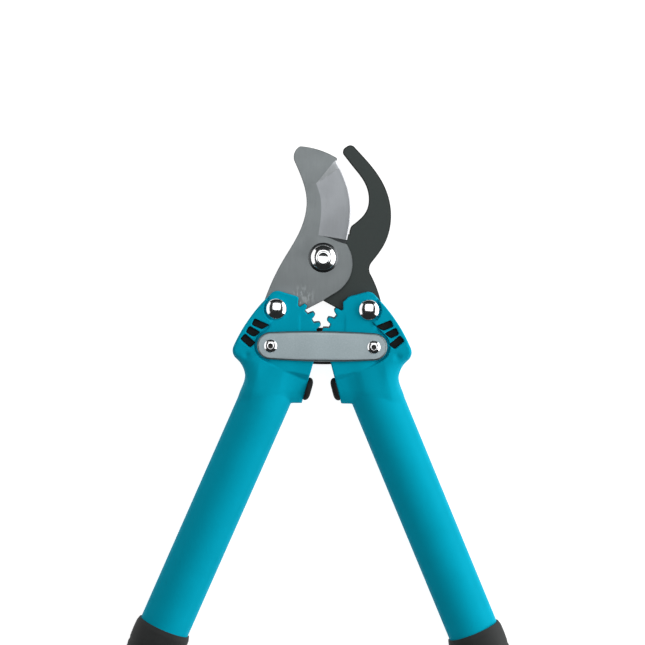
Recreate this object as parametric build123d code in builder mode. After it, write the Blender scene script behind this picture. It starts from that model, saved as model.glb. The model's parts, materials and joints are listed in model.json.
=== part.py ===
from build123d import *
from math import acos, cos, pi, radians, sin, tan
import os

# A geared bypass lopper lying on its back. X runs to the right, Y towards the blade tips and
# Z up through the layers. The origin is midway between the two handle pivots, on the outer
# face of the rear link. The rest pose has the jaw half open. Millimetres.

os.makedirs("parts", exist_ok=True)

# Linkage: handles turn about the link ends, blades about the tang bolts and the main bolt
handle_pivot = (-35.0, 0.0)
tang_pivot = (-31.5, 25.0)
main_pivot = (0.0, 60.0)

# Layers, counted up from the rear link's outer face
link_thickness = 3.5
link_radius = 9.3
layer_gap = 0.05
head_back = link_thickness + layer_gap
head_front = 20.95
front_link_back = head_front + layer_gap
mid_layer = (head_back + head_front) / 2
hook_thickness = 5.0
blade_thickness = 4.0
hook_back = mid_layer - hook_thickness
blade_back = mid_layer + layer_gap
blade_front = blade_back + blade_thickness
fork_gap = 0.1
running_gap = 0.05

# Gear sectors
teeth_per_turn = 28
pitch_radius = 35.0
tip_radius = 36.8
root_radius = 32.95
base_radius = pitch_radius * cos(radians(20))
tooth_pitch = 360 / teeth_per_turn
mesh_phase = -1.5
backlash = 0.1

# Fasteners
tang_bolt_radius = 3.0
tang_dome_radius = 7.0
main_bolt_radius = 4.0
main_dome_radius = 8.9
barrel_radius = 4.0
bush_radius = 5.5
screw_radius = 2.5
screw_head_radius = 4.7
open_hole_radius = 5.35
open_hole_shift = (-1.98, 0.98)

# Handle tubes, measured along the tube from the level of the handle pivots
tube_lean = radians(23.15)
tube_top = (-22.75, 0.0)
tube_half_width = 17.5
tube_half_depth = 11.0
tube_full_at = 52.0
tube_end = 362.0
cavity_start = 75.0
wall = 2.5
grip_start = 214.0
end_cap_length = 8.0

# Bumpers: their faces meet when both handles have turned in by this angle
closing_angle = 15.0
bumper_face = 34.95
inner_wall = 31.1
bumper_along = 22.5
bumper_radius = 8.0

tube_plane = Plane(
    origin=(*tube_top, mid_layer),
    x_dir=(cos(tube_lean), -sin(tube_lean), 0),
    z_dir=(-sin(tube_lean), -cos(tube_lean), 0),
)
inward = (cos(radians(closing_angle)), -sin(radians(closing_angle)))
along = (-inward[1], inward[0])


def bumper_origin(distance):
    """Point on the bumper's axis at this distance from the handle pivot's plane."""
    return (
        handle_pivot[0] + inward[0] * distance - along[0] * bumper_along,
        handle_pivot[1] + inward[1] * distance - along[1] * bumper_along,
        mid_layer,
    )


def bumper_plane(distance):
    return Plane(origin=bumper_origin(distance), x_dir=(0, 0, 1), z_dir=(*inward, 0))


def on_inner_wall(y):
    """Point at this height on the handle's inner wall, which carries the bumper."""
    run = (inner_wall + y * sin(radians(closing_angle))) / cos(radians(closing_angle))
    return (handle_pivot[0] + run, y)


def polar(radius, angle):
    return (radius * cos(angle), radius * sin(angle))


def involute(radius):
    pressure_angle = acos(base_radius / radius)
    return tan(pressure_angle) - pressure_angle


def tooth_half_angle(radius):
    at_pitch = pi / (2 * teeth_per_turn) - backlash / pitch_radius
    return at_pitch + involute(pitch_radius) - involute(radius)


def write_piece(part, name):
    part.label = name
    export_step(part, f"parts/{name}.step")


def write_pair(part, name):
    """Write the left piece as drawn and its mirror image as the right one."""
    with BuildPart() as left:
        add(part)
    write_piece(left.part, f"left_{name}")
    with BuildPart() as right:
        mirror(part, about=Plane.YZ)
    write_piece(right.part, f"right_{name}")


def dome(radius, height, base):
    """Turned bolt head with a rounded crown, standing on the layer at base."""
    rim = 0.2 * height
    crown = height - rim
    sphere_radius = (radius**2 + crown**2) / (2 * crown)
    half_way = sphere_radius - (sphere_radius**2 - (radius / 2) ** 2) ** 0.5
    with BuildPart() as head:
        with BuildSketch(Plane.XZ):
            with BuildLine():
                Line((0, base), (radius, base))
                Line((radius, base), (radius, base + rim))
                ThreePointArc(
                    (radius, base + rim),
                    (radius / 2, base + height - half_way),
                    (0, base + height),
                )
                Line((0, base + height), (0, base))
            make_face()
        revolve(axis=Axis.Z)
    return head.part


# ---------------------------------------------------------------- handles

with BuildSketch() as tooth:
    with BuildLine():
        below_root = root_radius - 1.0
        mid_radius = (root_radius + tip_radius) / 2
        for side in (-1, 1):
            foot = polar(root_radius, side * tooth_half_angle(root_radius))
            shoulder = polar(tip_radius, side * tooth_half_angle(tip_radius))
            Line((below_root, foot[1]), foot)
            ThreePointArc(foot, polar(mid_radius, side * tooth_half_angle(mid_radius)), shoulder)
        ThreePointArc(
            polar(tip_radius, -tooth_half_angle(tip_radius)),
            (tip_radius, 0),
            polar(tip_radius, tooth_half_angle(tip_radius)),
        )
        Line((below_root, -foot[1]), (below_root, foot[1]))
    make_face()

fork_corner = (-39.8, 30.3)
nose_top = (-60.0, 0.0)
nose_bottom = (-59.4, -8.6)
waist_top = (-56.6, -11.5)
waist_bottom = (-56.2, -33.0)
boss_inner = on_inner_wall(-40.0)
boss_outer = (-21.5, -40.0)
web_end = on_inner_wall(-10.4)

shoulder_step = 1.5
stem_length = 9.0
stem_radius = 3.0

# Slot inserts: centre, length, width and turn of each pad
slot_pads = [(-42.7, 14.5, 9.6, 4.8, -23), (-47.5, 9.3, 7.8, 5.0, -29), (-50.6, 3.1, 9.4, 5.0, -41)]
insert_floor = 17.6
insert_channel_depth = 1.8
insert_recess = 2.0


def insert_pads():
    for x, y, length, width, turn in slot_pads:
        with Locations(Location((x, y, 0), (0, 0, turn))):
            RectangleRounded(length, width, 1.1)


def insert_channel():
    for start, end in zip(slot_pads, slot_pads[1:]):
        middle = ((start[0] + end[0]) / 2, (start[1] + end[1]) / 2)
        span = Vector(*start[:2]) - Vector(*end[:2])
        turn = Vector(1, 0, 0).get_signed_angle(span, Vector(0, 0, 1))
        with Locations(Location((*middle, 0), (0, 0, turn))):
            Rectangle(span.length + 1.0, 3.4)


def handle_body(tooth_angles, fork_crest, tang_back, tang_front, slot_radius, slot_floor):
    """Left-hand handle: geared and forked head, grip tube and bumper seat.

    tooth_angles are counted from the line joining the two handle pivots. fork_crest is the top
    inner corner of the fork. The tang slot lies between tang_back and tang_front.
    """
    root_start = radians(min(tooth_angles)) - tooth_half_angle(root_radius)
    root_end = radians(max(tooth_angles) + tooth_pitch / 2)

    def on_root(angle):
        x, y = polar(root_radius, angle)
        return (handle_pivot[0] + x, handle_pivot[1] + y)

    with BuildPart() as handle:
        with BuildSketch(Plane.XY.offset(head_back)) as head:
            with BuildLine():
                ThreePointArc(on_root(root_start), on_root(0), on_root(root_end))
                Line(on_root(root_end), fork_crest)
                Line(fork_crest, (-20.0, 34.2))
                Line((-20.0, 34.2), (-28.5, 36.7))
                ThreePointArc((-28.5, 36.7), (-32.2, 36.9), (-35.2, 35.3))
                Line((-35.2, 35.3), fork_corner)
                ThreePointArc(fork_corner, (-51.5, 15.6), nose_top)
                ThreePointArc(nose_top, (-60.9, -4.8), nose_bottom)
                Line(nose_bottom, waist_top)
                ThreePointArc(waist_top, (-52.5, -22.0), waist_bottom)
                Line(waist_bottom, (-45.0, -41.0))
                Line((-45.0, -41.0), boss_outer)
                Line(boss_outer, boss_inner)
                Line(boss_inner, web_end)
                Line(web_end, on_root(root_start))
            make_face()
            for angle in tooth_angles:
                with Locations(Location((*handle_pivot, 0), (0, 0, angle))):
                    add(tooth.sketch)
        extrude(amount=head_front - head_back)

        # Raised shoulder outside the link, front and back, clear of the link as it swings
        with BuildSketch(Plane.XY.offset(head_back - shoulder_step)):
            with BuildLine():
                Line((-38.2, 29.5), (-39.4, 30.0))
                ThreePointArc((-39.4, 30.0), (-51.1, 15.6), (-59.4, 0))
                ThreePointArc((-59.4, 0), (-60.3, -4.8), (-58.9, -8.3))
                Line((-58.9, -8.3), (-56.1, -11.2))
                ThreePointArc((-56.1, -11.2), (-52.6, -18.0), (-51.9, -24.0))
                Line((-51.9, -24.0), (-45.0, -12.0))
                ThreePointArc((-45.0, -12.0), (-46.2, 1.6), (-42.2, 8.8))
                Line((-42.2, 8.8), (-33.4, 17.0))
                ThreePointArc((-33.4, 17.0), (-38.9, 21.8), (-38.2, 29.5))
            make_face()
        extrude(amount=head_front - head_back + 2 * shoulder_step)

        # Tube, rising out of the head
        with BuildSketch(tube_plane.offset(16)):
            Ellipse(15.5, mid_layer - head_back - 0.6)
        with BuildSketch(tube_plane.offset(30)):
            Ellipse(17.0, mid_layer - head_back + 1.0)
        with BuildSketch(tube_plane.offset(tube_full_at)):
            Ellipse(tube_half_width, tube_half_depth)
        loft()
        with BuildSketch(tube_plane.offset(tube_full_at)):
            Ellipse(tube_half_width, tube_half_depth)
        extrude(amount=tube_end - tube_full_at)
        with BuildSketch(tube_plane.offset(cavity_start)):
            Ellipse(tube_half_width - wall, tube_half_depth - wall)
        extrude(amount=tube_end - cavity_start, mode=Mode.SUBTRACT)

        # Slot for the blade tang
        with BuildSketch(Plane.XY.offset(tang_back)):
            with BuildLine():
                slot_left = (tang_pivot[0] - slot_radius * 0.94, tang_pivot[1] - slot_radius * 0.34)
                slot_bottom = (tang_pivot[0] - 2.0, slot_floor)
                Line((-49.0, 42.0), slot_left)
                ThreePointArc(
                    slot_left,
                    (tang_pivot[0] - slot_radius * 0.66, tang_pivot[1] - slot_radius * 0.75),
                    slot_bottom,
                )
                Polyline(slot_bottom, (8.0, slot_floor), (8.0, 42.0), (-49.0, 42.0))
            make_face()
        extrude(amount=tang_front - tang_back, mode=Mode.SUBTRACT)

        # Holes for the link bush and the tang bolt, and the seat of the bumper's stem
        with BuildSketch(Plane.XY):
            with Locations(handle_pivot):
                Circle(bush_radius)
            with Locations(tang_pivot):
                Circle(tang_bolt_radius)
        extrude(amount=head_front, mode=Mode.SUBTRACT)
        with BuildSketch(bumper_plane(inner_wall - stem_length)):
            Circle(stem_radius)
        extrude(amount=stem_length + 1, mode=Mode.SUBTRACT)

        # Three slots in the front shoulder, joined underneath by a channel
        with BuildSketch(Plane.XY.offset(insert_floor)):
            insert_channel()
        extrude(amount=insert_channel_depth, mode=Mode.SUBTRACT)
        with BuildSketch(Plane.XY.offset(insert_floor)):
            insert_pads()
        extrude(amount=head_front + shoulder_step - insert_floor, mode=Mode.SUBTRACT)
    return handle.part


left_angles = [tooth_pitch * k + mesh_phase for k in range(-1, 5)]
right_angles = [tooth_pitch * (k + 0.5) + mesh_phase for k in range(-1, 4)]
with BuildPart() as left_handle:
    add(handle_body(left_angles, (-16.3, 32.4), blade_back - fork_gap, blade_front + fork_gap, 14.6, 11.6))
with BuildPart() as right_handle:
    mirror(
        handle_body(right_angles, (-13.6, 30.2), hook_back - fork_gap, mid_layer + fork_gap, 11.2, 13.4),
        about=Plane.YZ,
    )
write_piece(left_handle.part, "left_handle")
write_piece(right_handle.part, "right_handle")

# ---------------------------------------------------------------- pieces carried by each handle

with BuildPart() as slot_insert:
    with BuildSketch(Plane.XY.offset(insert_floor)):
        insert_channel()
    extrude(amount=insert_channel_depth)
    with BuildSketch(Plane.XY.offset(insert_floor)):
        insert_pads()
    extrude(amount=head_front + shoulder_step - insert_recess - insert_floor)
write_pair(slot_insert.part, "slot_insert")

with BuildPart() as pivot_bush:
    with BuildSketch(Plane.XY.offset(head_back)):
        with Locations(handle_pivot):
            Circle(bush_radius)
            Circle(barrel_radius + running_gap, mode=Mode.SUBTRACT)
    extrude(amount=head_front - head_back)
write_pair(pivot_bush.part, "pivot_bush")

with BuildPart() as bumper:
    with BuildSketch(bumper_plane(inner_wall)):
        Circle(bumper_radius)
    extrude(amount=bumper_face - inner_wall)
    fillet(bumper.faces().sort_by(Axis.X)[-1].edges(), 1.6)
    with BuildSketch(bumper_plane(inner_wall)):
        Circle(stem_radius)
    extrude(amount=-stem_length)
write_pair(bumper.part, "bumper")

# Grip: stations along the tube with half width and half depth
grip_stations = [
    (grip_start, 19.2, 11.9),
    (grip_start + 9, 19.6, 12.1),
    (grip_start + 26, 18.9, 11.8),
    (grip_start + 70, 20.0, 12.15),
    (grip_start + 118, 18.9, 11.8),
    (tube_end, 20.6, 12.2),
]
with BuildPart() as grip:
    for station, half_width, half_depth in grip_stations:
        with BuildSketch(tube_plane.offset(station)):
            Ellipse(half_width, half_depth)
    loft()
    with BuildSketch(tube_plane.offset(grip_start)):
        Ellipse(tube_half_width, tube_half_depth)
    extrude(amount=tube_end - grip_start, mode=Mode.SUBTRACT)
write_pair(grip.part, "grip")

with BuildPart() as end_cap:
    with BuildSketch(tube_plane.offset(tube_end)):
        Ellipse(20.6, 12.2)
    extrude(amount=end_cap_length)
    fillet(end_cap.faces().sort_by(Axis.Y)[0].edges(), 3.5)
    with BuildSketch(tube_plane.offset(tube_end - 16)):
        Ellipse(tube_half_width - wall, tube_half_depth - wall)
    extrude(amount=16)
write_pair(end_cap.part, "end_cap")

nut_height = 3.1
with BuildPart() as tang_bolt:
    with Locations((*tang_pivot, 0)):
        add(dome(tang_dome_radius, 4.4, head_front))
    with BuildSketch(Plane.XY.offset(head_back - nut_height)):
        with Locations(tang_pivot):
            Circle(tang_bolt_radius)
    extrude(amount=head_front - head_back + nut_height)
write_pair(tang_bolt.part, "tang_bolt")

with BuildPart() as tang_nut:
    with BuildSketch(Plane.XY.offset(head_back - nut_height)):
        with Locations(tang_pivot):
            RegularPolygon(5.0, 6, major_radius=False)
            Circle(tang_bolt_radius, mode=Mode.SUBTRACT)
    extrude(amount=nut_height)
write_pair(tang_nut.part, "tang_nut")

# ---------------------------------------------------------------- link between the handles


def link_bar(back, upper_bow, lower_bow):
    """Flat bar with round ends and bowed long edges, their heights given at its middle."""
    x = -handle_pivot[0]
    with BuildPart() as bar:
        with BuildSketch(Plane.XY.offset(back)):
            with BuildLine():
                ThreePointArc((-x, link_radius), (0, upper_bow), (x, link_radius))
                ThreePointArc((x, link_radius), (x + link_radius, 0), (x, -link_radius))
                ThreePointArc((x, -link_radius), (0, -lower_bow), (-x, -link_radius))
                ThreePointArc((-x, -link_radius), (-x - link_radius, 0), (-x, link_radius))
            make_face()
        extrude(amount=link_thickness)
    return bar.part


pivots_both = [handle_pivot, (-handle_pivot[0], handle_pivot[1])]
countersink_radius = 6.6
countersink_depth = countersink_radius - barrel_radius

with BuildPart() as front_link:
    add(link_bar(front_link_back, 10.3, 10.3))
    chamfer(front_link.faces().sort_by(Axis.Z)[-1].outer_wire().edges(), 0.7)
    with Locations(*pivots_both):
        Hole(screw_radius)
write_piece(front_link.part, "front_link")

with BuildPart() as rear_link:
    add(link_bar(0, 11.2, 14.1))
    with BuildSketch():
        with Locations(*pivots_both):
            Circle(countersink_radius)
    extrude(amount=countersink_depth, taper=45, mode=Mode.SUBTRACT)
    with BuildSketch():
        with Locations(*pivots_both):
            Circle(barrel_radius)
    extrude(amount=link_thickness, mode=Mode.SUBTRACT)
write_piece(rear_link.part, "rear_link")

barrel_top = head_front + layer_gap
with BuildPart() as link_barrel:
    with BuildSketch():
        with Locations(handle_pivot):
            Circle(countersink_radius)
    extrude(amount=countersink_depth, taper=45)
    with BuildSketch():
        with Locations(handle_pivot):
            Circle(barrel_radius)
    extrude(amount=barrel_top)
    with BuildSketch(Plane.XY.offset(barrel_top)):
        with Locations(handle_pivot):
            Circle(screw_radius)
    extrude(amount=-12, mode=Mode.SUBTRACT)
write_pair(link_barrel.part, "link_barrel")

link_front = front_link_back + link_thickness
socket_depth = 1.6
with BuildPart() as link_screw:
    with Locations((*handle_pivot, 0)):
        add(dome(screw_head_radius, 2.7, link_front))
    with BuildSketch(Plane.XY.offset(barrel_top - 11)):
        with Locations(handle_pivot):
            Circle(screw_radius)
    extrude(amount=link_front - barrel_top + 11)
    with BuildSketch(Plane.XY.offset(link_front + 2.7)):
        with Locations(handle_pivot):
            RegularPolygon(1.7, 6, major_radius=False)
    extrude(amount=-socket_depth, mode=Mode.SUBTRACT)
write_pair(link_screw.part, "link_screw")

# ---------------------------------------------------------------- blades

tang_end_radius = 9.9


def blade_root(side):
    """Pivot lobe, lower edge and round tang end; side is 1 for the blade and -1 for the hook."""

    def arc(*points):
        ThreePointArc(*[(side * x, y) for x, y in points])

    def line(*points):
        Polyline(*[(side * x, y) for x, y in points])

    arc((16.0, 69.0), (19.9, 57.0), (17.0, 44.5))
    arc((17.0, 44.5), (12.9, 39.3), (7.0, 35.0))
    line((7.0, 35.0), (0.0, 30.5), (-26.9, 16.25))
    arc((-26.9, 16.25), (-39.0, 18.5), (-39.8, 30.4))


# Ground bevel: the front face falls away to a thin edge on the cutting side
bevel_top = 126.2
bevel_heel = 69.3
bevel_start = -3.6
bevel_reach = 26.0
bevel_drop = 5.1
with BuildPart() as bevel_cut:
    with BuildSketch(Plane.XY.offset(blade_back)):
        with BuildLine():
            Polyline(
                (7.5, bevel_top), (-6.0, 110.5), (-6.0, 74.8), (-1.0, 74.7), (15.4, bevel_heel),
                (bevel_reach, bevel_heel), (bevel_reach, bevel_top), close=True,
            )
        make_face()
    extrude(amount=2 * blade_thickness)
    with BuildSketch(Plane.XZ.offset(-bevel_top)):
        with BuildLine():
            Polyline(
                (bevel_start, blade_front),
                (bevel_reach, blade_front - bevel_drop),
                (bevel_reach, blade_front + 1),
                (bevel_start, blade_front + 1),
                close=True,
            )
        make_face()
    extrude(amount=bevel_top - bevel_heel, mode=Mode.INTERSECT)

with BuildPart() as cutting_blade:
    with BuildSketch(Plane.XY.offset(blade_back)):
        with BuildLine():
            blade_root(1)
            Spline(
                (-39.8, 30.4), (-35.3, 42.0), (-27.6, 57.5), (-16.4, 77.5), (-11.8, 98.0),
                (-20.4, 125.2),
            )
            ThreePointArc((-20.4, 125.2), (-20.5, 130.6), (-16.6, 135.2))
            ThreePointArc((-16.6, 135.2), (-4.0, 133.0), (7.6, 128.0))
            ThreePointArc((7.6, 128.0), (8.5, 127.0), (8.1, 125.6))
            Spline((8.1, 125.6), (15.2, 110.3), (18.4, 92.0), (16.0, 72.3))
            Line((16.0, 72.3), (15.6, 70.0))
            Line((15.6, 70.0), (16.0, 69.0))
        make_face()
    extrude(amount=blade_thickness)

    add(bevel_cut.part, mode=Mode.SUBTRACT)

    # The main hole runs on the bolt; the tang hole has room for the bolt's whole path
    with BuildSketch(Plane.XY.offset(blade_back)):
        with Locations(main_pivot):
            Circle(main_bolt_radius + running_gap)
        with Locations((tang_pivot[0] + open_hole_shift[0], tang_pivot[1] + open_hole_shift[1])):
            Circle(open_hole_radius)
    extrude(amount=blade_thickness, mode=Mode.SUBTRACT)
write_piece(cutting_blade.part, "cutting_blade")

with BuildPart() as counter_blade:
    with BuildSketch(Plane.XY.offset(hook_back)):
        with BuildLine():
            blade_root(-1)
            ThreePointArc((39.8, 30.4), (36.4, 40.6), (32.8, 48.2))
            ThreePointArc((32.8, 48.2), (31.5, 52.6), (32.9, 56.8))
            Spline(
                (32.9, 56.8), (42.0, 70.3), (45.9, 89.9), (40.9, 109.4), (30.4, 124.5), (21.0, 134.5)
            )
            ThreePointArc((21.0, 134.5), (17.7, 136.5), (14.6, 135.2))
            ThreePointArc((14.6, 135.2), (12.5, 132.6), (13.1, 129.9))
            Line((13.1, 129.9), (20.0, 121.3))
            Spline((20.0, 121.3), (29.2, 107.5), (29.2, 92.5), (19.0, 81.7))
            ThreePointArc((19.0, 81.7), (18.1, 79.6), (17.5, 76.0))
            Line((17.5, 76.0), (-10.0, 76.0))
            ThreePointArc((-10.0, 76.0), (-14.0, 73.4), (-16.0, 69.0))
        make_face()
    extrude(amount=hook_thickness)
    with BuildSketch(Plane.XY.offset(hook_back)):
        with Locations(main_pivot):
            Circle(main_bolt_radius)
        with Locations((-tang_pivot[0], tang_pivot[1])):
            Circle(tang_bolt_radius + running_gap)
    extrude(amount=hook_thickness, mode=Mode.SUBTRACT)
write_piece(counter_blade.part, "counter_blade")

# ---------------------------------------------------------------- main bolt stack

washer_back = blade_front + layer_gap
washer_thickness = 1.2
bolt_seat = washer_back + washer_thickness
rear_washer_thickness = 1.3
pivot_nut_height = 5.2
nut_back = hook_back - rear_washer_thickness - pivot_nut_height

with BuildPart() as pivot_bolt:
    with Locations((*main_pivot, 0)):
        add(dome(main_dome_radius, 4.8, bolt_seat))
    with BuildSketch(Plane.XY.offset(nut_back)):
        with Locations(main_pivot):
            Circle(main_bolt_radius)
    extrude(amount=bolt_seat - nut_back)
write_piece(pivot_bolt.part, "pivot_bolt")

with BuildPart() as front_washer:
    with BuildSketch(Plane.XY.offset(washer_back)):
        with Locations(main_pivot):
            Circle(10.2)
            Circle(main_bolt_radius, mode=Mode.SUBTRACT)
    extrude(amount=washer_thickness)
write_piece(front_washer.part, "front_washer")

with BuildPart() as rear_washer:
    with BuildSketch(Plane.XY.offset(hook_back - rear_washer_thickness)):
        with Locations(main_pivot):
            Circle(8.5)
            Circle(main_bolt_radius, mode=Mode.SUBTRACT)
    extrude(amount=rear_washer_thickness)
write_piece(rear_washer.part, "rear_washer")

with BuildPart() as pivot_nut:
    with BuildSketch(Plane.XY.offset(nut_back)):
        with Locations(main_pivot):
            RegularPolygon(6.5, 6, major_radius=False)
            Circle(main_bolt_radius, mode=Mode.SUBTRACT)
    extrude(amount=pivot_nut_height)
write_piece(pivot_nut.part, "pivot_nut")
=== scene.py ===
import cmath
import json
import math

import bpy
import numpy as np
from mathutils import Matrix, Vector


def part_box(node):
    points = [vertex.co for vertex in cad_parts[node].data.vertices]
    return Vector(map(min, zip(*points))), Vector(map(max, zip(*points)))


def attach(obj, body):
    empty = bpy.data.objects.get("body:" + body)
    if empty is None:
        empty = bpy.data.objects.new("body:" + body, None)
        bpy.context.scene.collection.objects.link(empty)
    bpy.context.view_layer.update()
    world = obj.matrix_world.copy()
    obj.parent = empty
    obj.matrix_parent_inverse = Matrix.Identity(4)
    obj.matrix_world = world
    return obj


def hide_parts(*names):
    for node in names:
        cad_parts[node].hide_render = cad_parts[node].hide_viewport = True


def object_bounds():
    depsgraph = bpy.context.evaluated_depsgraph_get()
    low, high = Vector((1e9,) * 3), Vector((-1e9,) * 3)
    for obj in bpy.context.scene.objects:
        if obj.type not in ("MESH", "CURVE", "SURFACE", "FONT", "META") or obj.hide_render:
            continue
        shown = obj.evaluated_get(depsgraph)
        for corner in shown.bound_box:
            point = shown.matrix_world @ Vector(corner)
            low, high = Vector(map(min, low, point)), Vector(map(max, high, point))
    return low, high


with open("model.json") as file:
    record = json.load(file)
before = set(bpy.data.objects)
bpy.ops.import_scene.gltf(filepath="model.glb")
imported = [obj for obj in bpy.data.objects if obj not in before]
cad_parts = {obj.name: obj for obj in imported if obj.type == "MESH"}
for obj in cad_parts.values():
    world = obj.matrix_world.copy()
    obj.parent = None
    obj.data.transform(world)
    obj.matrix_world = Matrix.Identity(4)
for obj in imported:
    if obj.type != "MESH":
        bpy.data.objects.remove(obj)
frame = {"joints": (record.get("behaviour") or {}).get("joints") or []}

import openvdb
from mathutils import Matrix, Quaternion, Vector
from mathutils.geometry import tessellate_polygon

# A geared bypass lopper lying on its back. Shapes are written in millimetres in the CAD frame
# (X right, Y to the blade tips, Z up through the layers) and scaled once, in add_piece.

MM = 0.001
cad_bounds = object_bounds()


def node_box(node):
    """Lowest and highest corner of a CAD node, in millimetres."""
    low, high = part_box(node)
    return np.array(low) / MM, np.array(high) / MM


def joint_place(name):
    joint = next(j for j in frame["joints"] if j["name"] == name)
    return np.array(joint["pos_m"][:2]) / MM


# ------ places taken from the frame

HANDLE_PIVOT = joint_place("left_handle_hinge")
MAIN_PIVOT = joint_place("cutting_blade_hinge")
TANG_PIVOT = joint_place("counter_blade_hinge") * (-1, 1)
LINK_FRONT = node_box("front_link")[1][2]
BLADE_BACK, BLADE_FRONT = (corner[2] for corner in node_box("cutting_blade"))
HOOK_BACK, HOOK_FRONT = (corner[2] for corner in node_box("counter_blade"))
HEAD_BACK, HEAD_FRONT = (corner[2] for corner in node_box("left_pivot_bush"))
MID_LAYER = (HEAD_BACK + HEAD_FRONT) / 2
HEAD_HALF = (HEAD_FRONT - HEAD_BACK) / 2
MIRROR_X = np.array([-1.0, 1.0, 1.0])

# ------ curves


def polar(centre, radius, angle):
    return (centre[0] + radius * math.cos(angle), centre[1] + radius * math.sin(angle))


def whole_turn(count):
    """Angles evenly round a circle."""
    return np.linspace(0, math.tau, count, endpoint=False)


def arc(start, through, end, count=16):
    """Points on the circular arc through three points, ends included."""
    a, b, c = (complex(*point) for point in (start, through, end))
    ratio = (c - a) / (b - a)
    centre = a + (b - a) * (ratio - abs(ratio) ** 2) / (2j * ratio.imag)
    first, mid, last = (cmath.phase(point - centre) for point in (a, b, c))
    turn = (last - first) % math.tau
    if (mid - first) % math.tau > turn:
        turn -= math.tau
    angles = first + turn * np.linspace(0, 1, count)
    return [polar((centre.real, centre.imag), abs(a - centre), angle) for angle in angles]


def spline(points, count=40):
    """Points on a natural cubic spline through the given points, ends included."""
    knots = np.array(points, float)
    steps = np.hypot(*np.diff(knots, axis=0).T)
    at = np.concatenate([[0], np.cumsum(steps)])
    n = len(knots)
    system = np.eye(n)
    right = np.zeros((n, 2))
    for i in range(1, n - 1):
        before, after = at[i] - at[i - 1], at[i + 1] - at[i]
        system[i, i - 1 : i + 2] = before, 2 * (before + after), after
        right[i] = 6 * ((knots[i + 1] - knots[i]) / after - (knots[i] - knots[i - 1]) / before)
    bend = np.linalg.solve(system, right)
    samples = np.linspace(0, at[-1], count)
    piece = np.clip(np.searchsorted(at, samples, side="right") - 1, 0, n - 2)
    span = (at[piece + 1] - at[piece])[:, None]
    a = (at[piece + 1] - samples)[:, None] / span
    b = 1 - a
    made = a * knots[piece] + b * knots[piece + 1]
    made += ((a**3 - a) * bend[piece] + (b**3 - b) * bend[piece + 1]) * span**2 / 6
    return [tuple(p) for p in made]


def path(*stretches):
    """One open line from stretches of points, without repeated points where they meet."""
    made = []
    for stretch in stretches:
        for point in stretch:
            if not made or math.dist(point, made[-1]) > 1e-4:
                made.append(tuple(point))
    return made


def ring(*stretches):
    made = path(*stretches)
    if math.dist(made[0], made[-1]) < 1e-4:
        made.pop()
    return made


def divide(points, longest):
    """The same line with no gap longer than this."""
    made = [points[0]]
    for a, b in zip(points, points[1:]):
        parts = max(1, math.ceil(math.dist(a, b) / longest))
        made += [tuple(np.array(a) + (np.array(b) - a) * k / parts) for k in range(1, parts + 1)]
    return made


def resample(line, at, wanted):
    """Points of a line at the wanted places; at holds the places of its own points."""
    line = np.array(line)
    return np.column_stack([np.interp(wanted, at, line[:, k]) for k in range(2)])


def circle(centre, radius, count=72):
    return [polar(centre, radius, angle) for angle in whole_turn(count)]


def inset(points, distance, closed=True):
    """Each point moved to the left of the line's direction by its own distance."""
    p = np.array(points, float)
    before, after = np.roll(p, 1, axis=0), np.roll(p, -1, axis=0)
    if not closed:
        before[0], after[-1] = p[0], p[-1]
    run_in, run_out = p - before, after - p
    for run in (run_in, run_out):
        length = np.hypot(*run.T)[:, None]
        run /= np.where(length > 1e-9, length, 1)
    if not closed:
        run_in[0], run_out[-1] = run_out[0], run_in[-1]
    along = run_in + run_out
    along /= np.hypot(*along.T)[:, None]
    across = np.stack([-along[:, 1], along[:, 0]], axis=1)
    straightness = np.clip(np.sum(along * run_in, axis=1), 0.4, 1)[:, None]
    return p + across / straightness * np.broadcast_to(distance, len(p))[:, None]


# ------ meshes


class Shape:
    """Points in millimetres, faces and the material number of each face."""

    def __init__(self):
        self.points = []
        self.faces = []
        self.paints = []

    def add(self, points):
        first = len(self.points)
        self.points += [tuple(map(float, p)) for p in points]
        return list(range(first, len(self.points)))

    def face(self, corners, paint=0):
        """A face loses the corners that repeat, as a quad does where a turned piece meets its axis."""
        corners = tuple(dict.fromkeys(corners))
        if len(corners) > 2:
            self.faces.append(corners)
            self.paints.append(paint)

    def bridge(self, a, b, closed=True, paint=0):
        last = len(a) if closed else len(a) - 1
        for i in range(last):
            j = (i + 1) % len(a)
            self.face((a[i], a[j], b[j], b[i]), paint)

    def cap(self, loops, up):
        """Flat face bounded by the first loop of point numbers, with the others as its holes."""
        numbers = [n for loop in loops for n in loop]
        flat = [[Vector((*self.points[n][:2], 0)) for n in loop] for loop in loops]
        for triangle in tessellate_polygon(flat):
            corners = [numbers[i] for i in triangle]
            a, b, c = (np.array(self.points[n][:2]) for n in corners)
            turns_left = (b - a)[0] * (c - a)[1] - (b - a)[1] * (c - a)[0] > 0
            self.face(corners if turns_left == up else corners[::-1])


HOLE_RIM = 0.25


def level(points, z):
    return [(x, y, z) for x, y in points]


def rounded_wall(shape, line, rims, back, front, steps=3, closed=True, paint=0):
    """Wall along a line, rounded by each point's own rim; gives its back and its front row."""
    turns = np.linspace(0, math.pi / 2, steps + 1)
    corners = [(1 - math.sin(t), 1 - math.cos(t), back, 1) for t in turns]
    corners += [(1 - math.cos(t), 1 - math.sin(t), front, -1) for t in turns]
    rows = []
    for inward, drop, face, up in corners:
        edge = inset(line, rims * inward, closed)
        rows.append(shape.add([(x, y, face + up * d) for (x, y), d in zip(edge, rims * drop)]))
    for low, high in zip(rows, rows[1:]):
        shape.bridge(low, high, closed, paint)
    return rows[0], rows[-1]


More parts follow.
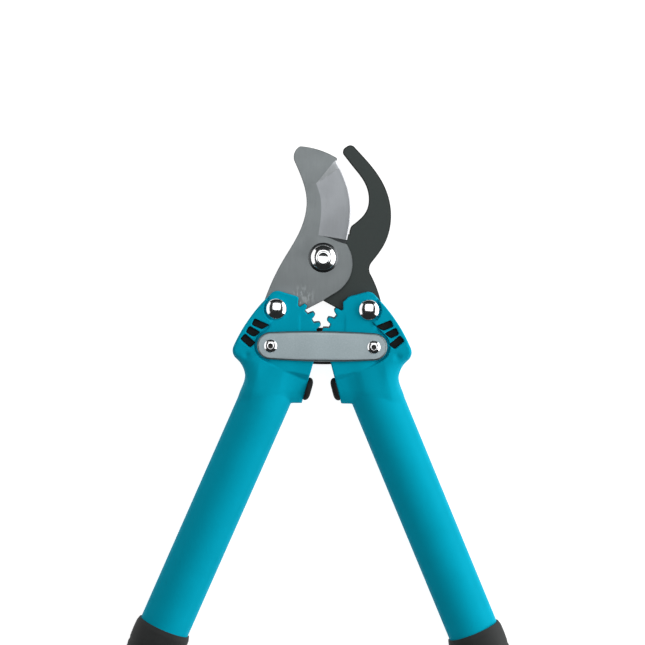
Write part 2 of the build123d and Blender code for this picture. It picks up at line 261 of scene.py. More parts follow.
def plate(outline, back, front, rim, holes=(), steps=3, rim_paint=0):
    """Flat piece from an anticlockwise outline; its rounded rims may have their own paint."""
    shape = Shape()
    lines = [(outline, rim)] + [(hole[::-1], HOLE_RIM) for hole in holes]
    fronts, backs = [], []
    for line, radius in lines:
        rims = np.full(len(line), radius)
        low, high = rounded_wall(shape, line, rims, back, front, steps, paint=rim_paint)
        backs.append(low)
        fronts.append(high)
    shape.cap(fronts, up=True)
    shape.cap(backs, up=False)
    return shape


def lathe(profile, centre, count=72, outline=None):
    """Turned piece. profile holds (radius, height) from the bottom middle or bore round the outside.

    outline(angle) may give the largest radius at that angle, as for a hexagon.
    """
    shape = Shape()
    angles = whole_turn(count)
    loops = []
    for radius, height in profile:
        if radius == 0:
            loops.append(shape.add([(*centre, height)]) * count)
            continue
        radii = [radius if outline is None else min(radius, outline(a)) for a in angles]
        loops.append(shape.add(level(map(polar, [centre] * count, radii, angles), height)))
    if profile[0][0] > 0:
        loops.append(loops[0])
    for low, high in zip(loops, loops[1:]):
        shape.bridge(low, high)
    return shape


def hexagon(half_width):
    def radius(angle):
        return half_width / math.cos((angle + math.pi / 6) % (math.pi / 3) - math.pi / 6)

    return radius


def add_piece(node, shape, body, material, record_slot, smooth_angle=35, mirrored=False,
              flat_sides=False):
    """Make the object, ride it on its body and let it stand for its CAD node."""
    name = f"{node}_looks"
    points = np.array(shape.points) * MM
    faces = shape.faces
    if mirrored:
        points = points * MIRROR_X
        faces = [face[::-1] for face in faces]
    mesh = bpy.data.meshes.new(name)
    mesh.from_pydata(points.tolist(), [], faces)
    mesh.update()
    piece = bpy.data.objects.new(name, mesh)
    bpy.context.scene.collection.objects.link(piece)
    for paint in material if isinstance(material, tuple) else (material,):
        mesh.materials.append(paint)
    mesh.polygons.foreach_set("material_index", shape.paints)
    mesh.polygons.foreach_set("use_smooth", [True] * len(mesh.polygons))
    mesh.set_sharp_from_angle(angle=math.radians(smooth_angle))
    if flat_sides:
        piece.modifiers.new("flat_sides", "WEIGHTED_NORMAL").keep_sharp = True
    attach(piece, body)
    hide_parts(node)


def add_pair(name, shape, material, record_slot, body=None, **options):
    """The left piece as drawn and its mirror image on the right, each on its handle or on body."""
    for side in ("left", "right"):
        add_piece(
            f"{side}_{name}", shape, body or f"{side}_handle", material, record_slot,
            mirrored=side == "right", **options,
        )


# ------ materials


def shader_input(material, socket):
    return material.node_tree.nodes["Principled BSDF"].inputs[socket]


def new_material(name, colour, metallic, roughness):
    material = bpy.data.materials.new(name)
    material.use_nodes = True
    shader_input(material, "Base Color").default_value = (*colour, 1)
    shader_input(material, "Metallic").default_value = metallic
    shader_input(material, "Roughness").default_value = roughness
    return material


def add_node(material, kind, values=()):
    """New shader node of this kind, with the values of its sockets that nothing is linked to."""
    node = material.node_tree.nodes.new("ShaderNode" + kind)
    for socket, value in dict(values).items():
        node.inputs[socket].default_value = value
    return node


def add_noise(material, scale, detail=4.0, stretch=(1, 1, 1), roughness=0.55):
    """Noise on the piece's own coordinates, so that it moves with the piece."""
    link = material.node_tree.links.new
    place = add_node(material, "TexCoord")
    mapping = add_node(material, "Mapping", {"Scale": stretch})
    noise = add_node(material, "TexNoise", {"Scale": scale, "Detail": detail, "Roughness": roughness})
    link(place.outputs["Object"], mapping.inputs["Vector"])
    link(mapping.outputs["Vector"], noise.inputs["Vector"])
    return noise.outputs["Fac"]


# Noise stays nearly always between these values
NOISE_LOW, NOISE_HIGH = 0.3, 0.7


def vary_colour(material, pattern, dark, light):
    ramp = add_node(material, "ValToRGB")
    ends = ((NOISE_LOW, dark), (NOISE_HIGH, light))
    for element, (position, colour) in zip(ramp.color_ramp.elements, ends):
        element.position = position
        element.color = (*colour, 1)
    material.node_tree.links.new(pattern, ramp.inputs["Fac"])
    material.node_tree.links.new(ramp.outputs["Color"], shader_input(material, "Base Color"))


def vary_roughness(material, pattern, low, high):
    spread = add_node(material, "MapRange", {
        "From Min": NOISE_LOW, "From Max": NOISE_HIGH, "To Min": low, "To Max": high,
    })
    material.node_tree.links.new(pattern, spread.inputs["Value"])
    material.node_tree.links.new(spread.outputs["Result"], shader_input(material, "Roughness"))


def add_bump(material, patterns, distance):
    """Bumps from (pattern, strength) pairs, one on top of the other."""
    link = material.node_tree.links.new
    normal = None
    for pattern, strength in patterns:
        bump = add_node(material, "Bump", {"Strength": strength, "Distance": distance})
        link(pattern, bump.inputs["Height"])
        if normal is not None:
            link(normal, bump.inputs["Normal"])
        normal = bump.outputs["Normal"]
    link(normal, shader_input(material, "Normal"))


def shell_material():
    material = new_material("teal_shell", (0.001, 0.345, 0.50), 0.0, 0.5)
    shader_input(material, "IOR").default_value = 1.33
    shader_input(material, "Specular IOR Level").default_value = 0.1
    shader_input(material, "Specular Tint").default_value = (0.02, 0.62, 0.80, 1)
    clouds = add_noise(material, 45, detail=3)
    grain = add_noise(material, 2600, detail=2)
    vary_colour(material, clouds, (0.001, 0.352, 0.500), (0.0012, 0.378, 0.537))
    vary_roughness(material, clouds, 0.46, 0.55)
    add_bump(material, [(grain, 0.12)], 0.0001)
    return material


def steel_material(name, dark, light, roughness, stretch, metallic=0.9, scale=90):
    """Steel with fine lines; stretch is the noise's scale along each axis, largest across them."""
    material = new_material(name, light, metallic, roughness)
    lines = add_noise(material, scale, detail=6, stretch=stretch, roughness=0.7)
    blotches = add_noise(material, 60, detail=4)
    speckle = add_noise(material, 3200, detail=2)
    vary_colour(material, lines, dark, light)
    vary_roughness(material, blotches, roughness - 0.05, roughness + 0.07)
    add_bump(material, [(lines, 0.10), (speckle, 0.06)], 0.00008)
    return material


def coated_material(name, dark, light, roughness, grain_strength):
    """Dark coating with a fine orange-peel surface."""
    material = new_material(name, light, 0.0, roughness)
    shader_input(material, "Specular IOR Level").default_value = 0.3
    blotches = add_noise(material, 120, detail=5)
    peel = add_noise(material, 1500, detail=3)
    vary_colour(material, blotches, dark, light)
    vary_roughness(material, blotches, roughness - 0.05, roughness + 0.08)
    add_bump(material, [(peel, grain_strength)], 0.0001)
    return material


def chrome_material():
    """Bright plating that is smudged here and there."""
    material = new_material("bright_chrome", (0.80, 0.81, 0.82), 1.0, 0.12)
    smudges = add_noise(material, 320, detail=4)
    vary_colour(material, smudges, (0.76, 0.77, 0.78), (0.84, 0.85, 0.86))
    vary_roughness(material, smudges, 0.09, 0.17)
    return material


def add_rub_marks(material, centre, reach, colour):
    """Light scratches on a surface, fading out with the distance from a place, all in metres."""
    link = material.node_tree.links.new
    base_colour = shader_input(material, "Base Color")
    place = add_node(material, "TexCoord")
    away = add_node(material, "VectorMath")
    away.operation = "DISTANCE"
    away.inputs[1].default_value = centre
    link(place.outputs["Object"], away.inputs[0])
    # Full strength over the inner part of the reach
    fade = add_node(material, "MapRange", {"From Min": reach, "From Max": reach * 0.4})
    link(away.outputs["Value"], fade.inputs["Value"])
    # Only the peaks of the noise are marks, so that they stay apart
    scratches = add_node(material, "MapRange", {"From Min": 0.5, "From Max": 0.62})
    link(add_noise(material, 420, detail=2, stretch=(1.6, 0.5, 1)), scratches.inputs["Value"])
    both = add_node(material, "Math")
    both.operation = "MULTIPLY"
    link(fade.outputs["Result"], both.inputs[0])
    link(scratches.outputs["Result"], both.inputs[1])
    mix = add_node(material, "Mix")
    mix.data_type = "RGBA"
    link(both.outputs["Value"], mix.inputs["Factor"])
    link(base_colour.links[0].from_socket, mix.inputs["A"])
    mix.inputs["B"].default_value = (*colour, 1)
    link(mix.outputs["Result"], base_colour)


SHELL = shell_material()
BLADE = steel_material("blade_flat", (0.174, 0.192, 0.197), (0.190, 0.208, 0.213), 0.42, (9, 1, 1))
RUB_CENTRE = (-0.0135, 0.0325, 0.0163)
add_rub_marks(BLADE, RUB_CENTRE, 0.010, (0.29, 0.315, 0.32))
# Darker steel for the blade's rounded rims and heel wall: painted shade
BLADE_RIM_SHADE = steel_material("blade_rim_shade", (0.10, 0.11, 0.113), (0.14, 0.15, 0.155), 0.45, (3, 3, 3))
GROUND = steel_material("ground_bevel", (0.246, 0.259, 0.273), (0.261, 0.275, 0.291), 0.38, (12, 1, 1))
# Lighter copy of the ground steel on the facet at the nose: painted light
LIT_NOSE_FACET = steel_material("lit_nose_facet", (0.27, 0.285, 0.295), (0.30, 0.315, 0.325), 0.42, (12, 1, 1))
# Pale steel on the real honed edge, painted light so it shows as a bright edge highlight from every side
HONED_HIGHLIGHT = steel_material("honed_edge_highlight", (0.66, 0.67, 0.70), (0.74, 0.75, 0.78), 0.45, (3, 3, 3), 0.3)
HOOK = coated_material("hook_coating", (0.024, 0.034, 0.032), (0.031, 0.043, 0.040), 0.42, 0.16)
# Near-black coating on the hook's rounded rims: painted shade on its edges
HOOK_RIM_SHADE = coated_material("hook_rim_shade", (0.004, 0.007, 0.006), (0.007, 0.011, 0.010), 0.5, 0.16)
SATIN = steel_material(
    "satin_link", (0.305, 0.365, 0.385), (0.365, 0.435, 0.460), 0.42, (1, 1, 1), scale=900,
)
# Darker satin steel on the front link's rounded rims: painted shade, standing in for the contact shadow
# along the bar
SATIN_RIM_SHADE = steel_material(
    "satin_rim_shade", (0.15, 0.19, 0.20), (0.20, 0.25, 0.26), 0.45, (1, 1, 1), scale=900,
)
# Black coating of the rear link, also used as painted shade inside the link screw sockets
BLACK = coated_material("black_link", (0.008, 0.009, 0.009), (0.014, 0.016, 0.015), 0.38, 0.10)
CHROME = chrome_material()
ZINC = steel_material("zinc_plate", (0.34, 0.35, 0.36), (0.46, 0.47, 0.47), 0.34, (3, 3, 3))
WASHER = steel_material("front_washer", (0.08, 0.086, 0.09), (0.11, 0.118, 0.122), 0.24, (3, 3, 3))
RUBBER = coated_material("bumper_rubber", (0.003, 0.004, 0.004), (0.006, 0.007, 0.007), 0.8, 0.30)
GRIP = coated_material("soft_grip", (0.016, 0.018, 0.018), (0.024, 0.026, 0.026), 0.62, 0.34)
CAP = coated_material("cap_plastic", (0.010, 0.011, 0.011), (0.017, 0.018, 0.018), 0.46, 0.18)
FLANK = coated_material("tooth_flank", (0.003, 0.008, 0.009), (0.005, 0.013, 0.015), 0.6, 0.2)
BUSH = coated_material("bush_plastic", (0.014, 0.015, 0.015), (0.020, 0.021, 0.021), 0.5, 0.1)

# ------ handles, as distance fields

TUBE_LEAN = math.radians(23.15)
TUBE_TOP = np.array([-22.75, 0.0])
TUBE_ACROSS = np.array([math.cos(TUBE_LEAN), -math.sin(TUBE_LEAN)])
TUBE_ALONG = np.array([-math.sin(TUBE_LEAN), -math.cos(TUBE_LEAN)])
TUBE_HALF_WIDTH = 17.5
TUBE_HALF_DEPTH = 11.0
TUBE_FLAT = 6.2
TUBE_FLANK_ANGLE = math.radians(34)
TUBE_ROUNDING = 3.6
TUBE_EASE = 0.1
TUBE_END = 362.0
WALL = 2.5
CAVITY_START = 75.0
FINE_STEP = 0.5
COARSE_STEP = 5.0
FINE_UNTIL = 50.0
FIELD_REACH = 4.0

TEETH = 28
PITCH_RADIUS = 35.0
TIP_RADIUS = 36.75
ROOT_RADIUS = 32.95
BASE_RADIUS = PITCH_RADIUS * math.cos(math.radians(20))
TOOTH_PITCH = 360 / TEETH
MESH_PHASE = -1.5
BACKLASH = 0.1
CLOSING = math.radians(15)

# Relief of the head: how far its faces rise or fall from its own thickness, and where
SHOULDER_STEP = 2.1
SHOULDER_RUN = 16.0
BOSS_DROP = 1.1
BOSS_SLOPE = 0.13
BOSS_FALL = 4.0
BOSS_FALL_FROM = -29.5
BOSS_FALL_RUN = 10.5
CREASE_START = (-27.0, -16.5)
CREASE_SPREAD = 0.21
RIDGE_END = (-31.6, -36.0)
GROOVE_DEPTH = 1.3
HOLLOW_CENTRE = (-51.3, -6.7)
HOLLOW_SIZE = 5.0
HOLLOW_DEPTH = 1.0
SECTOR_DROP = 0.4
WAIST_WIDTH = 11.0
WAIST_FALL = 4.5
SINK = 5.0
STEP_RAMP = 0.5
HEAD_ROUNDING = 0.6
OUTER_ROUNDING = 2.0
HEAD_BLEND = 3.0
BOSS_BLEND_LOST = 2.2
TUBE_START = 6.0
TUBE_START_DROP = 3.0

BUSH_RADIUS = 5.5
TANG_BOLT_RADIUS = 3.0
FORK_GAP = 0.1


def smooth(low, high, value):
    t = np.clip((value - low) / (high - low), 0, 1)
    return t * t * (3 - 2 * t)


def soft_union(a, b, blend):
    h = np.maximum(blend - np.abs(a - b), 0) / blend
    return np.minimum(a, b) - h * h * blend / 4


def soft_cut(a, b, blend):
    """Field a with b taken away, its rim softened over this distance."""
    h = np.maximum(blend - np.abs(a + b), 0) / blend
    return np.maximum(a, -b) + h * h * blend / 4


def outline_distance(x, y, outline):
    """Signed distance from each point to a closed outline, negative inside."""
    best = np.full(x.shape, 1e9)
    inside = np.zeros(x.shape, bool)
    for (ax, ay), (bx, by) in zip(outline, outline[1:] + outline[:1]):
        ex, ey = bx - ax, by - ay
        wx, wy = x - ax, y - ay
        t = np.clip((wx * ex + wy * ey) / (ex * ex + ey * ey), 0, 1)
        best = np.minimum(best, (wx - ex * t) ** 2 + (wy - ey * t) ** 2)
        if ay != by:
            inside ^= ((ay > y) != (by > y)) & (wx < ex * wy / ey)
    return np.where(inside, -1, 1) * np.sqrt(best)


def involute(radius):
    pressure_angle = math.acos(BASE_RADIUS / radius)
    return math.tan(pressure_angle) - pressure_angle


def tooth_half_angle(radius):
    at_pitch = math.pi / (2 * TEETH) - BACKLASH / PITCH_RADIUS
    return at_pitch + involute(PITCH_RADIUS) - involute(radius)


def around_pivot(radius, angle):
    return polar(HANDLE_PIVOT, radius, angle)


def gear_edge(tooth_angles):
    """Toothed edge, from the root of the first tooth to the gap after the last, anticlockwise."""
    made = []
    outward = np.linspace(ROOT_RADIUS, TIP_RADIUS, 4)
    for angle in map(math.radians, tooth_angles):
        made += [around_pivot(r, angle - tooth_half_angle(r)) for r in outward]
        made += [around_pivot(r, angle + tooth_half_angle(r)) for r in outward[::-1]]
    made.append(around_pivot(ROOT_RADIUS, math.radians(tooth_angles[-1] + TOOTH_PITCH / 2)))
    return made


def on_inner_wall(y, distance):
    """Point at this height on the wall that carries the bumper, this far from the pivot."""
    return (HANDLE_PIVOT[0] + (distance + y * math.sin(CLOSING)) / math.cos(CLOSING), y)


INNER_WALL = 31.1
FORK_CORNER = (-39.8, 30.3)
BOSS_INNER = on_inner_wall(-40.0, INNER_WALL)
BOSS_OUTER = (-21.5, -40.0)
SLOT_PADS = [
    (-42.9, 14.3, 9.4, 4.8, -23, 0.75),
    (-47.6, 9.2, 7.6, 5.0, -29, 0.45),
    (-50.7, 3.1, 9.2, 5.0, -41, 0.15),
]
INSERT_FLOOR = 17.6
PAD_CORNER = 1.1


def pad_outline(pad, grow=0.0):
    """Rounded rectangle of one slot, grown all round by this much."""
    x, y, length, width, turn, slant = pad
    a, b, corner = length / 2 + grow, width / 2 + grow, PAD_CORNER + grow
    points = []
    for k, (sx, sy) in enumerate([(1, 1), (-1, 1), (-1, -1), (1, -1)]):
        for angle in np.linspace(k, k + 1, 6) * math.pi / 2:
            px = sx * (a - corner) + corner * math.cos(angle)
            py = sy * (b - corner) + corner * math.sin(angle)
            points.append((px + slant * py * (px > 0), py))
    c, s = math.cos(math.radians(turn)), math.sin(math.radians(turn))
    return [(x + c * px - s * py, y + s * px + c * py) for px, py in points]


def head_outline(tooth_angles, fork_crest):
    return ring(
        gear_edge(tooth_angles),
        [fork_crest, (-17.6, 33.6), (-20.0, 34.3), (-28.5, 36.7)],
        arc((-28.5, 36.7), (-32.2, 36.9), (-35.2, 35.3)),
        arc(FORK_CORNER, (-51.5, 15.6), (-60.0, 0.0), 20),
        arc((-60.0, 0.0), (-60.9, -4.8), (-59.4, -8.6)),
        arc((-56.6, -11.5), (-52.4, -22.3), (-55.7, -33.6), 20),
        [(-62.8, -50.2), (-47.1, -57.0), BOSS_OUTER, BOSS_INNER, on_inner_wall(-10.4, INNER_WALL)],
    )


def shoulder_outline():
    """Region round the recessed cheek; its outer side runs past the head."""
    around_bolt = arc((-37.6, 30.6), (-38.9, 21.8), (-33.4, 17.0))
    around_link = [around_pivot(10.7, math.radians(a)) for a in np.linspace(128, 238, 20)]
    return ring(
        [(-38.5, 36.0)], around_bolt, around_link,
        [CREASE_START, on_inner_wall(-20.0, INNER_WALL), (4.0, -23.0), (4.0, -66.0), (-80.0, -66.0),
         (-80.0, 36.0)],
    )


def ridge_distance(x, y):
    """Distance from the long edge where the inner flank begins, growing towards the inner wall."""
    along = np.array(RIDGE_END) - CREASE_START
    along /= np.hypot(*along)
    return (x - CREASE_START[0]) * -along[1] + (y - CREASE_START[1]) * along[0]


def shoulder_height(head):
    """Height over the cheeks: highest outside, falling to the waist and to the bumper boss."""
    inward = ridge_distance(PLAN_X, PLAN_Y)
    before = np.minimum(-inward * SHOULDER_STEP / SHOULDER_RUN, SHOULDER_STEP)
    after = -BOSS_DROP * smooth(0.0, 6.0, inward) - BOSS_SLOPE * inward
    from_edge = np.clip(1 + head / WAIST_WIDTH, 0, 1)
    waist = smooth(-3.0, -13.0, PLAN_Y) * smooth(-33.0, -42.0, PLAN_X)
    underside = np.clip((BOSS_FALL_FROM - PLAN_Y) / BOSS_FALL_RUN, 0, 1) ** 2
    underside *= smooth(-4.0, 2.0, inward)
    from_hollow = (PLAN_X - HOLLOW_CENTRE[0]) ** 2 + (PLAN_Y - HOLLOW_CENTRE[1]) ** 2
    hollow = np.exp(-from_hollow / HOLLOW_SIZE)
    fall = WAIST_FALL * waist * from_edge**2 + BOSS_FALL * underside + HOLLOW_DEPTH * hollow
    return np.where(inward < 0, before, after) - fall


def slab(flat, low, high, rounding):
    """Field of an outline raised from low to high, with rounded rims."""
    across = flat[..., None] + rounding
    middle, half = (low + high) / 2, (high - low) / 2
    upright = np.abs(GRID_Z - middle) - half + rounding
    outside = np.hypot(np.maximum(across, 0), np.maximum(upright, 0))
    return np.minimum(np.maximum(across, upright), 0) + outside - rounding


def tube_field(inset_by, depth_lost):
    """Distance to the tube: flat top and bottom, sloping flanks and upright sides, softly rounded."""
    u = np.abs(GRID_U)[:, None, None] - TUBE_EASE
    z = np.abs(GRID_Z - MID_LAYER) + depth_lost
    flank = TUBE_FLANK_ANGLE
    planes = [
        z - TUBE_HALF_DEPTH,
        u - TUBE_HALF_WIDTH,
        (u - TUBE_FLAT) * math.sin(flank) + (z - TUBE_HALF_DEPTH) * math.cos(flank),
    ]
    edge = TUBE_ROUNDING
    top_and_flank = soft_cut(planes[0], -planes[2], edge)
    return soft_cut(top_and_flank, -planes[1], edge) + inset_by


def steps_along_tube():
    """Fine steps over the head, then steps that grow to the coarse one."""
    fine = np.arange(-38.0, FINE_UNTIL, FINE_STEP)
    growing = np.minimum(FINE_STEP * 1.15 ** np.arange(1, 200), COARSE_STEP)
    coarse = FINE_UNTIL + np.cumsum(growing)
    return np.concatenate([fine, coarse[coarse < TUBE_END + 4]])


GRID_U = np.arange(-38.0, 29.0, FINE_STEP)
GRID_V = steps_along_tube()
GRID_Z = np.arange(-0.5, 25.5, FINE_STEP)
PLAN_X = TUBE_TOP[0] + np.add.outer(GRID_U * TUBE_ACROSS[0], GRID_V * TUBE_ALONG[0])
PLAN_Y = TUBE_TOP[1] + np.add.outer(GRID_U * TUBE_ACROSS[1], GRID_V * TUBE_ALONG[1])


def handle_field(tooth_angles, fork_crest, tang_back, tang_front, slot_radius, slot_floor):
    """Distance field of the left-hand handle on the grid, negative inside."""
    head = outline_distance(PLAN_X, PLAN_Y, head_outline(tooth_angles, fork_crest))

    # Cheeks, shoulder and bumper boss share one plate whose half height changes over it
    raised = outline_distance(PLAN_X, PLAN_Y, shoulder_outline())
    from_crease = np.hypot(PLAN_X - CREASE_START[0], PLAN_Y - CREASE_START[1])
    beyond = smooth(-1.0, 2.0, PLAN_X - CREASE_START[0]) * smooth(-8.0, -12.0, PLAN_Y)
    ramp = STEP_RAMP + beyond * CREASE_SPREAD * from_crease
    step = shoulder_height(head) * np.clip(-raised / ramp, 0, 1)
    # A groove runs round the ends of the link, the sector of teeth is thinner, and the head's
    # outer end sinks into the tube
    groove = smooth(1.7, 0.8, raised) * smooth(-0.1, 0.3, raised) * smooth(-34.0, -38.0, PLAN_X)
    sector = smooth(-16.0, -14.8, PLAN_X) * smooth(24.0, 17.0, PLAN_Y) * smooth(-13.0, -9.0, PLAN_Y)
    into_tube = smooth(37.0, 56.0, GRID_V)
    step -= GROOVE_DEPTH * groove + SECTOR_DROP * sector + SINK * into_tube
    half = (HEAD_HALF + step)[..., None]
    outer = smooth(-30.0, -50.0, PLAN_X) * smooth(16.0, -8.0, PLAN_Y)
    rounding = HEAD_ROUNDING + OUTER_ROUNDING * outer
    plate_field = slab(head, MID_LAYER - half, MID_LAYER + half, rounding[..., None])

    low_start = TUBE_START_DROP * smooth(50.0, 4.0, GRID_V)
    tube = tube_field(0.0, low_start[None, :, None])
    tube = np.maximum(tube, (TUBE_START - GRID_V)[None, :, None])
    blend = HEAD_BLEND - BOSS_BLEND_LOST * smooth(-30.0, -37.0, PLAN_Y)[..., None]
    field = soft_union(plate_field, tube, blend)
    field = np.maximum(field, (GRID_V - TUBE_END)[None, :, None])
    cavity = tube_field(WALL, 0.0)
    cavity = np.maximum(cavity, (CAVITY_START - GRID_V)[None, :, None])
    field = np.maximum(field, -cavity)

    # Space for the blade tang between the cheeks, round at its outer end
    slot_left = TANG_PIVOT - (slot_radius * 0.94, slot_radius * 0.34)
    slot_turn = TANG_PIVOT - (slot_radius * 0.66, slot_radius * 0.75)
    slot_low = (TANG_PIVOT[0] - 2.0, slot_floor)
    tang_space = ring(arc(slot_left, slot_turn, slot_low), [(8.0, slot_floor), (8.0, 42.0), (-49.0, 42.0)])
    tang = slab(outline_distance(PLAN_X, PLAN_Y, tang_space), tang_back, tang_front, 0.0)
    field = np.maximum(field, -tang)

    # Bores and the three slots of the insert
    for centre, radius in ((HANDLE_PIVOT, BUSH_RADIUS), (TANG_PIVOT, TANG_BOLT_RADIUS)):
        bore = np.hypot(PLAN_X - centre[0], PLAN_Y - centre[1]) - radius
        field = soft_cut(field, np.broadcast_to(bore[..., None], field.shape), 0.4)
    for pad in SLOT_PADS:
        pocket = outline_distance(PLAN_X, PLAN_Y, pad_outline(pad, 0.12))
        field = soft_cut(field, slab(pocket, INSERT_FLOOR, 40.0, 0.0), 0.5)
    return field


def field_shape(field):
    """Surface of a field as quads, with its points moved from grid numbers to millimetres."""
    grid = openvdb.FloatGrid(FIELD_REACH)
    grid.copyFromArray(np.clip(field, -FIELD_REACH, FIELD_REACH).astype(np.float32))
    points, quads = grid.convertToQuads(0.0)
    u = np.interp(points[:, 0], np.arange(len(GRID_U)), GRID_U)
    v = np.interp(points[:, 1], np.arange(len(GRID_V)), GRID_V)
    z = np.interp(points[:, 2], np.arange(len(GRID_Z)), GRID_Z)
    plan = TUBE_TOP + np.outer(u, TUBE_ACROSS) + np.outer(v, TUBE_ALONG)
    shape = Shape()
    shape.points = np.column_stack([plan, z]).tolist()
    a, b, c = (np.array(shape.points)[quads[:, k]] for k in range(3))
    volume = np.sum(np.cross(a, b) * c)
    shape.faces = (quads if volume > 0 else quads[:, ::-1]).tolist()
    shape.paints = [0] * len(shape.faces)
    return shape


def paint_tooth_flanks(shape):
    """The upright walls between the teeth get the second material."""
    points = np.array(shape.points)
    quads = np.array(shape.faces)
    a, b, c, d = (points[quads[:, k]] for k in range(4))
    normal = np.cross(c - a, d - b)
    upright = np.abs(normal[:, 2]) < 0.5 * np.linalg.norm(normal, axis=1)
    middle = (a + b + c + d) / 4
    from_pivot = np.hypot(middle[:, 0] - HANDLE_PIVOT[0], middle[:, 1] - HANDLE_PIVOT[1])
    angle = np.degrees(np.arctan2(middle[:, 1] - HANDLE_PIVOT[1], middle[:, 0] - HANDLE_PIVOT[0]))
    on_teeth = (from_pivot > ROOT_RADIUS - 0.6) & (np.abs(angle - 18) < 42)
    shape.paints = (upright & on_teeth).astype(int).tolist()
    return shape


def add_handles():
    left_teeth = [TOOTH_PITCH * k + MESH_PHASE for k in range(-1, 5)]
    right_teeth = [TOOTH_PITCH * (k + 0.5) + MESH_PHASE for k in range(-1, 4)]
    left = handle_field(
        left_teeth, (-16.3, 32.4), BLADE_BACK - FORK_GAP, BLADE_FRONT + FORK_GAP, 14.6, 11.6
    )
    right = handle_field(
        right_teeth, (-13.6, 30.2), HOOK_BACK - FORK_GAP, HOOK_FRONT + FORK_GAP, 11.2, 13.4
    )
    for side, field in (("left", left), ("right", right)):
        shape = paint_tooth_flanks(field_shape(field))
        body = f"{side}_handle"
        add_piece(body, shape, body, (SHELL, FLANK), "handle_shell", 60, mirrored=side == "right")


# ------ pieces on each handle


def turned(shape, origin, axis):
    """A shape drawn about +Z at the origin, moved to stand along another axis."""
    side = np.cross((0, 0, 1), axis)
    side /= np.linalg.norm(side)
    other = np.cross(axis, side)
    points = np.array(shape.points)
    shape.points = (np.array(origin) + points @ np.array([side, other, axis])).tolist()
    return shape


def add_bumpers():
    thickness = 3.85
    radius = 8.0
    inward = np.array([math.cos(CLOSING), -math.sin(CLOSING), 0])
    low, high = node_box("left_bumper")
    middle_y = (low[1] + high[1]) / 2
    seat = np.array([*on_inner_wall(middle_y + 0.15, INNER_WALL), MID_LAYER])
    profile = [(0, -8.5), (2.6, -8.5), (2.9, -8.2), (2.9, 0.0), (radius - 0.5, 0.0), (radius, 0.5)]
    edge_in, edge_high = 4.2, 2.9
    for turn in np.linspace(0, math.pi / 2, 10):
        inward_by, below_by = edge_in * (1 - math.cos(turn)), edge_high * (1 - math.sin(turn))
        profile.append((radius - inward_by, thickness - below_by))
    profile += [(2.4, thickness), (2.1, thickness - 0.3), (0, thickness - 0.3)]
    add_pair("bumper", turned(lathe(profile, (0, 0)), seat, inward), RUBBER, "bumper_rubber")


def add_inserts():
    shape = Shape()
    top = HEAD_FRONT - 0.6
    for pad in SLOT_PADS:
        part = plate(pad_outline(pad, -0.05), INSERT_FLOOR, top, 0.5)
        first = len(shape.points)
        shape.points += part.points
        shape.faces += [tuple(first + n for n in face) for face in part.faces]
        shape.paints += part.paints
    add_pair("slot_insert", shape, RUBBER, "bumper_rubber", flat_sides=True)


def add_bushes():
    inner = 4.05
    profile = [
        (inner, HEAD_BACK + 0.2), (inner + 0.2, HEAD_BACK), (BUSH_RADIUS - 0.3, HEAD_BACK),
        (BUSH_RADIUS, HEAD_BACK + 0.3), (BUSH_RADIUS, HEAD_FRONT - 0.3),
        (BUSH_RADIUS - 0.3, HEAD_FRONT), (inner + 0.2, HEAD_FRONT), (inner, HEAD_FRONT - 0.2),
    ]
    add_pair("pivot_bush", lathe(profile, HANDLE_PIVOT), BUSH, "bush_plastic")


def oval_sweep(stations, closed_ends=True, count=96):
    """Skin through ovals along the tube: (distance, half width, half depth) each."""
    shape = Shape()
    angles = whole_turn(count)
    loops = []
    for at, half_width, half_depth in stations:
        centre = TUBE_TOP + at * TUBE_ALONG
        flat = centre + np.outer(half_width * np.cos(angles), TUBE_ACROSS)
        loops.append(shape.add(np.column_stack([flat, MID_LAYER + half_depth * np.sin(angles)])))
    if closed_ends:
        shape.face(loops[0])
        shape.face(loops[-1][::-1])
    else:
        loops.append(loops[0])
    for low, high in zip(loops, loops[1:]):
        shape.bridge(high, low)
    return shape


GRIP_START = 214.0


def add_grips():
    """Soft sleeve with a collar, a palm swell and fine rings at both ends."""
    knots = np.array([
        (0, 18.6, 11.5), (3, 19.5, 12.0), (9, 19.6, 12.1), (26, 18.9, 11.75), (70, 20.0, 12.15),
        (118, 18.9, 11.75), (140, 20.1, 12.1), (TUBE_END - GRIP_START, 20.6, 12.2),
    ])
    stations = []
    for at in np.arange(0, TUBE_END - GRIP_START + 0.01, 0.8):
        width, depth = (np.interp(at, knots[:, 0], knots[:, k]) for k in (1, 2))
        ringed = smooth(13, 16, at) * smooth(58, 54, at) + smooth(84, 88, at) * smooth(126, 122, at)
        dip = 0.35 * ringed * (0.5 - 0.5 * math.cos(math.tau * at / 4.8))
        stations.append((GRIP_START + at, width - dip, depth - dip))
    bore = (TUBE_HALF_WIDTH + 0.02, TUBE_HALF_DEPTH + 0.02)
    inner = [(stations[-1][0], *bore), (stations[0][0], *bore)]
    add_pair("grip", oval_sweep(stations + inner, closed_ends=False), GRIP, "soft_grip")


def add_end_caps():
    rim = 3.4
    stations = [(TUBE_END - 16, 14.6, 8.1), (TUBE_END - 15, 14.95, 8.45), (TUBE_END, 14.95, 8.45),
                (TUBE_END + 0.02, 20.0, 11.7), (TUBE_END + 0.5, 20.5, 12.15)]
    for turn in np.linspace(0, math.pi / 2, 8):
        inward = rim * (1 - math.cos(turn))
        stations.append((TUBE_END + 8 - rim + rim * math.sin(turn), 20.5 - inward, 12.15 - inward))
    stations += [(TUBE_END + 8, 13.0, 5.6), (TUBE_END + 7.5, 12.4, 5.0)]
    add_pair("end_cap", oval_sweep(stations), CAP, "cap_plastic")


# ------ fasteners


